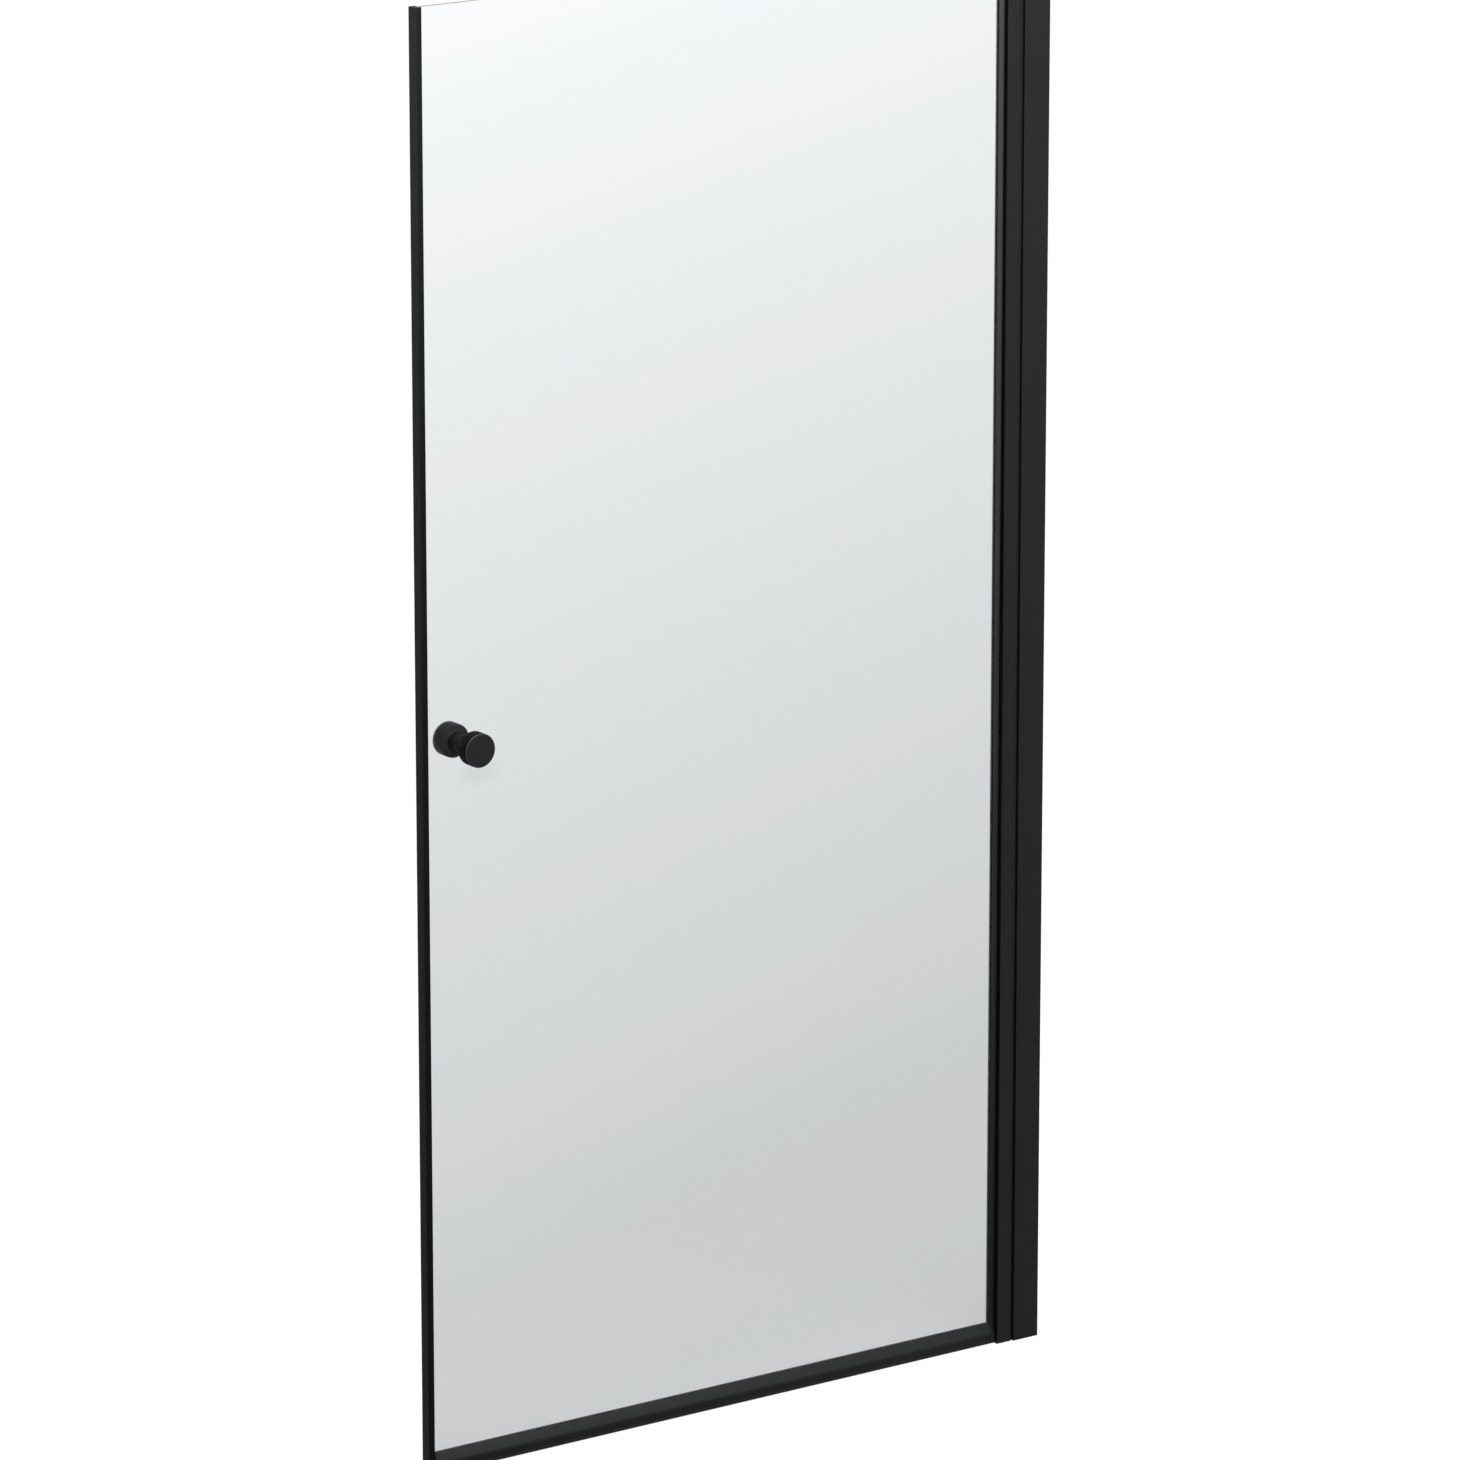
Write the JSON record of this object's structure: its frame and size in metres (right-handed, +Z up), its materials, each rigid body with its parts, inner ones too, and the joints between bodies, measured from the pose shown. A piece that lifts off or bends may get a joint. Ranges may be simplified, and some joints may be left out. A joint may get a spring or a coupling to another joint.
{
  "type": "shower door",
  "caption": "Swing shower door: clear glass in slim black profiles, round knob on each side, wall profile with a rise-and-fall hinge, and a sloped drip rail with a seal.",
  "frame": {"origin": "on the tray, at mid width, in the middle plane of the glass", "axes": "+Z up along the door's height, +X along the closed door towards the wall, -Y towards the wet side that the picture shows"},
  "size_m": [0.99, 0.082, 1.95],
  "materials": {
    "black_aluminium": "matt black powder coat",
    "black_metal": "matt black",
    "black_plastic": "matt black moulded",
    "knob": "matt black",
    "strip": "satin black extruded plastic",
    "seal": "matt rubber",
    "gasket": "matt rubber",
    "magnet": "matt",
    "bearing_plastic": "smooth acetal",
    "steel": "stainless",
    "glass": "clear toughened glass"
  },
  "bodies": {
    "wall_frame": {"wall_profile": "black_aluminium", "wall_profile_cap": "black_plastic", "clamp_screws": "steel", "clamp_nuts": "steel", "screw_covers": "black_plastic"},
    "hinge_frame": {"hinge_profile": "black_aluminium", "lower_hinge_block": "black_metal", "upper_hinge_block": "black_metal", "block_screws": "steel", "lower_pin": "steel", "upper_spindle": "steel", "lower_cam": "bearing_plastic"},
    "bush": {"lift_bush": "bearing_plastic"},
    "door": {"hinge_stile": "black_aluminium", "stile_gasket": "gasket", "glass_pane": "glass", "follower_cam": "bearing_plastic", "drip_rail": "black_aluminium", "rail_gasket": "gasket", "bottom_seal": "seal", "closing_end_cap": "black_plastic", "hinge_end_cap": "black_plastic", "edge_strip": "strip", "magnet_strip": "magnet", "front_knob": "knob", "rear_knob": "knob", "knob_stud": "steel", "front_knob_washer": "gasket", "rear_knob_washer": "gasket", "knob_sleeve": "gasket"}
  },
  "joints": [
    {"name": "width_adjust", "type": "slide", "parent": "wall_frame", "child": "hinge_frame", "axis": [-1, 0, 0], "range_m": [-0.003, 0.01]},
    {"name": "door_lift", "type": "slide", "parent": "hinge_frame", "child": "bush", "axis": [0, 0, 1], "range_m": [0, 0.004]},
    {"name": "door_swing", "type": "hinge", "parent": "bush", "child": "door", "pos_m": [0.433, 0, 0.9], "axis": [0, 0, -1], "range_deg": [0, 90]}
  ],
  "couplings": [
    {"joint": "door_lift", "follows": "door_swing", "m_per_rad": 0.002545}
  ]
}
